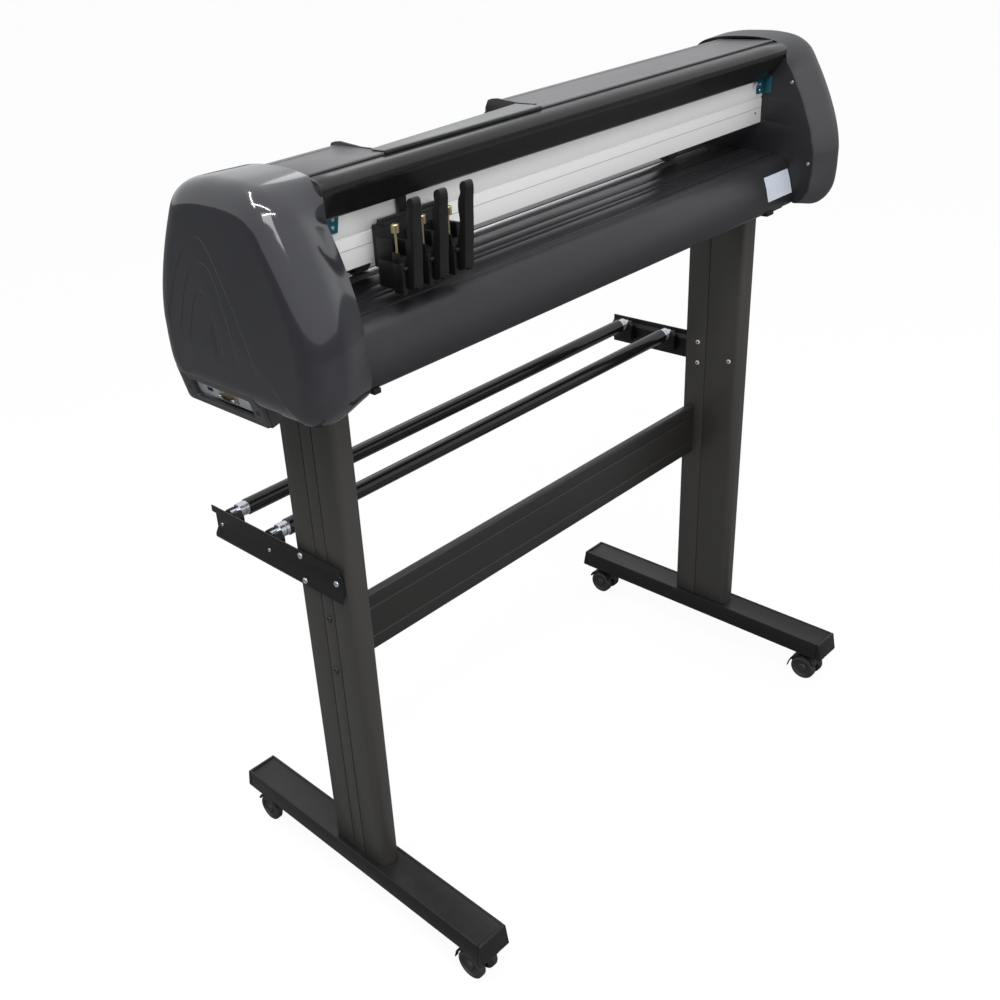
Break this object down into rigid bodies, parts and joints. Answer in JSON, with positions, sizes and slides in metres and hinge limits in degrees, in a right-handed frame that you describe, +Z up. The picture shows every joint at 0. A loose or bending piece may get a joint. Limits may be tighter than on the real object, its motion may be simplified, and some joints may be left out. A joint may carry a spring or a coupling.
{
  "type": "vinyl cutting plotter on a stand",
  "caption": "Floor-standing roll-fed vinyl cutter: end covers, hooded carriage rail and platen on a two-leg castored stand with a rear roll cradle.",
  "frame": {"origin": "on the floor, under the middle of the whole machine", "axes": "+X along the machine to its right end cover, +Y from the operator to the rear, +Z up"},
  "size_m": [1.007, 0.486, 1.0145],
  "materials": {
    "stand_paint": "satin powder coat",
    "gloss_cover": "gloss moulded",
    "black_paint": "satin black",
    "top_grey": "smooth satin",
    "aluminium": "brushed",
    "roller_black": "gloss",
    "rubber": "matt",
    "brass": "bright, knurled",
    "teal_paint": "satin",
    "light_plate": "satin",
    "steel": "ground",
    "motor_black": "satin",
    "moulded_black": "fine grain"
  },
  "bodies": {
    "machine": {"leg_left": "stand_paint", "leg_right": "stand_paint", "foot_left": "stand_paint", "foot_right": "stand_paint", "foot_cap_left_front": "moulded_black", "foot_cap_left_rear": "moulded_black", "foot_cap_right_front": "moulded_black", "foot_cap_right_rear": "moulded_black", "tie_bar": "stand_paint", "roller_bracket_left": "stand_paint", "roller_bracket_right": "stand_paint", "roller_seat_left_front": "moulded_black", "roller_seat_left_rear": "moulded_black", "roller_seat_right_front": "moulded_black", "roller_seat_right_rear": "moulded_black", "end_cover_left": "gloss_cover", "end_cover_right": "gloss_cover", "side_plate_left": "black_paint", "side_plate_right": "black_paint", "platen": "black_paint", "guide_rail": "aluminium", "hood": "black_paint", "top_cover": "top_grey", "recess_tray": "black_paint", "rail_bracket_left": "teal_paint", "rail_bracket_right": "teal_paint", "interface_bezel": "moulded_black", "interface_plate": "light_plate", "serial_socket": "brass", "power_inlet": "moulded_black", "feed_motor": "motor_black", "carriage_motor": "motor_black", "pinch_rod": "steel", "drive_belt": "rubber"},
    "caster_left_front": {"caster_fork_left_front": "moulded_black"},
    "wheels_left_front": {"caster_wheels_left_front": "rubber"},
    "caster_left_rear": {"caster_fork_left_rear": "moulded_black"},
    "wheels_left_rear": {"caster_wheels_left_rear": "rubber"},
    "caster_right_front": {"caster_fork_right_front": "moulded_black"},
    "wheels_right_front": {"caster_wheels_right_front": "rubber"},
    "caster_right_rear": {"caster_fork_right_rear": "moulded_black"},
    "wheels_right_rear": {"caster_wheels_right_rear": "rubber"},
    "media_roller_front": {"media_roller_front": "roller_black"},
    "media_roller_rear": {"media_roller_rear": "roller_black"},
    "carriage": {"carriage": "moulded_black"},
    "clamp_lever_1": {"clamp_lever_1": "moulded_black"},
    "thumb_screw_1": {"thumb_screw_1": "brass"},
    "clamp_lever_2": {"clamp_lever_2": "moulded_black"},
    "thumb_screw_2": {"thumb_screw_2": "brass"},
    "clamp_lever_3": {"clamp_lever_3": "moulded_black"},
    "thumb_screw_3": {"thumb_screw_3": "brass"},
    "grit_shaft": {"grit_shaft": "steel"},
    "lift_lever": {"lift_lever": "steel"},
    "pinch_arm_left": {"pinch_arm_left": "moulded_black"},
    "pinch_roller_left": {"pinch_roller_left": "rubber"},
    "pinch_arm_right": {"pinch_arm_right": "moulded_black"},
    "pinch_roller_right": {"pinch_roller_right": "rubber"},
    "drive_pulley": {"drive_pulley": "aluminium"},
    "idler_pulley": {"idler_pulley": "aluminium"},
    "power_switch": {"power_switch": "moulded_black"}
  },
  "joints": [
    {"name": "swivel_left_front", "type": "hinge", "parent": "machine", "child": "caster_left_front", "pos_m": [-0.403, -0.217, 0.0527], "axis": [0, 0, 1], "continuous": true},
    {"name": "roll_left_front", "type": "hinge", "parent": "caster_left_front", "child": "wheels_left_front", "pos_m": [-0.403, -0.209, 0.02], "axis": [1, 0, 0], "continuous": true},
    {"name": "swivel_left_rear", "type": "hinge", "parent": "machine", "child": "caster_left_rear", "pos_m": [-0.403, 0.217, 0.0527], "axis": [0, 0, 1], "continuous": true},
    {"name": "roll_left_rear", "type": "hinge", "parent": "caster_left_rear", "child": "wheels_left_rear", "pos_m": [-0.403, 0.209, 0.02], "axis": [1, 0, 0], "continuous": true},
    {"name": "swivel_right_front", "type": "hinge", "parent": "machine", "child": "caster_right_front", "pos_m": [0.416, -0.217, 0.0527], "axis": [0, 0, 1], "continuous": true},
    {"name": "roll_right_front", "type": "hinge", "parent": "caster_right_front", "child": "wheels_right_front", "pos_m": [0.416, -0.209, 0.02], "axis": [1, 0, 0], "continuous": true},
    {"name": "swivel_right_rear", "type": "hinge", "parent": "machine", "child": "caster_right_rear", "pos_m": [0.416, 0.217, 0.0527], "axis": [0, 0, 1], "continuous": true},
    {"name": "roll_right_rear", "type": "hinge", "parent": "caster_right_rear", "child": "wheels_right_rear", "pos_m": [0.416, 0.209, 0.02], "axis": [1, 0, 0], "continuous": true},
    {"name": "media_roller_front_spin", "type": "hinge", "parent": "machine", "child": "media_roller_front", "pos_m": [0.0065, 0.092, 0.549], "axis": [1, 0, 0], "continuous": true},
    {"name": "media_roller_rear_spin", "type": "hinge", "parent": "machine", "child": "media_roller_rear", "pos_m": [0.0065, 0.177, 0.549], "axis": [1, 0, 0], "continuous": true},
    {"name": "carriage_slide", "type": "slide", "parent": "machine", "child": "carriage", "axis": [1, 0, 0], "range_m": [-0.065, 0.655]},
    {"name": "clamp_lever_1_swing", "type": "hinge", "parent": "carriage", "child": "clamp_lever_1", "pos_m": [-0.3286, -0.1035, 0.899], "axis": [1, 0, 0], "range_deg": [0, 35]},
    {"name": "thumb_screw_1_turn", "type": "hinge", "parent": "carriage", "child": "thumb_screw_1", "pos_m": [-0.3369, -0.095, 0.927], "axis": [0, 0, 1], "range_deg": [-360, 360]},
    {"name": "clamp_lever_2_swing", "type": "hinge", "parent": "carriage", "child": "clamp_lever_2", "pos_m": [-0.2903, -0.1035, 0.899], "axis": [1, 0, 0], "range_deg": [0, 35]},
    {"name": "thumb_screw_2_turn", "type": "hinge", "parent": "carriage", "child": "thumb_screw_2", "pos_m": [-0.2986, -0.095, 0.927], "axis": [0, 0, 1], "range_deg": [-360, 360]},
    {"name": "clamp_lever_3_swing", "type": "hinge", "parent": "carriage", "child": "clamp_lever_3", "pos_m": [-0.252, -0.1035, 0.899], "axis": [1, 0, 0], "range_deg": [0, 35]},
    {"name": "thumb_screw_3_turn", "type": "hinge", "parent": "carriage", "child": "thumb_screw_3", "pos_m": [-0.2603, -0.095, 0.927], "axis": [0, 0, 1], "range_deg": [-360, 360]},
    {"name": "grit_shaft_spin", "type": "hinge", "parent": "machine", "child": "grit_shaft", "pos_m": [0.0065, 0.02, 0.851], "axis": [1, 0, 0], "continuous": true},
    {"name": "lift_lever_turn", "type": "hinge", "parent": "machine", "child": "lift_lever", "pos_m": [0.0065, 0.08, 0.935], "axis": [1, 0, 0], "range_deg": [-80, 0]},
    {"name": "pinch_arm_left_lift", "type": "hinge", "parent": "machine", "child": "pinch_arm_left", "pos_m": [-0.2935, 0.047, 0.912], "axis": [1, 0, 0], "range_deg": [-8, 0]},
    {"name": "pinch_roller_left_spin", "type": "hinge", "parent": "pinch_arm_left", "child": "pinch_roller_left", "pos_m": [-0.2935, 0.02, 0.8723], "axis": [1, 0, 0], "continuous": true},
    {"name": "pinch_arm_right_lift", "type": "hinge", "parent": "machine", "child": "pinch_arm_right", "pos_m": [0.3065, 0.047, 0.912], "axis": [1, 0, 0], "range_deg": [-8, 0]},
    {"name": "pinch_roller_right_spin", "type": "hinge", "parent": "pinch_arm_right", "child": "pinch_roller_right", "pos_m": [0.3065, 0.02, 0.8723], "axis": [1, 0, 0], "continuous": true},
    {"name": "drive_pulley_spin", "type": "hinge", "parent": "machine", "child": "drive_pulley", "pos_m": [-0.4495, -0.018, 0.9685], "axis": [0, 0, 1], "range_deg": [-400, 3900]},
    {"name": "idler_pulley_spin", "type": "hinge", "parent": "machine", "child": "idler_pulley", "pos_m": [0.4015, -0.018, 0.9685], "axis": [0, 0, 1], "range_deg": [-400, 3900]},
    {"name": "power_switch_rock", "type": "hinge", "parent": "machine", "child": "power_switch", "pos_m": [0.4965, 0.034, 0.837], "axis": [0, 1, 0], "range_deg": [-8, 8]}
  ],
  "couplings": [
    {"joint": "pinch_arm_left_lift", "follows": "lift_lever_turn", "ratio": 0.1},
    {"joint": "pinch_arm_right_lift", "follows": "lift_lever_turn", "ratio": 0.1},
    {"joint": "drive_pulley_spin", "follows": "carriage_slide", "rad_per_m": 102.04},
    {"joint": "idler_pulley_spin", "follows": "carriage_slide", "rad_per_m": 102.04}
  ]
}
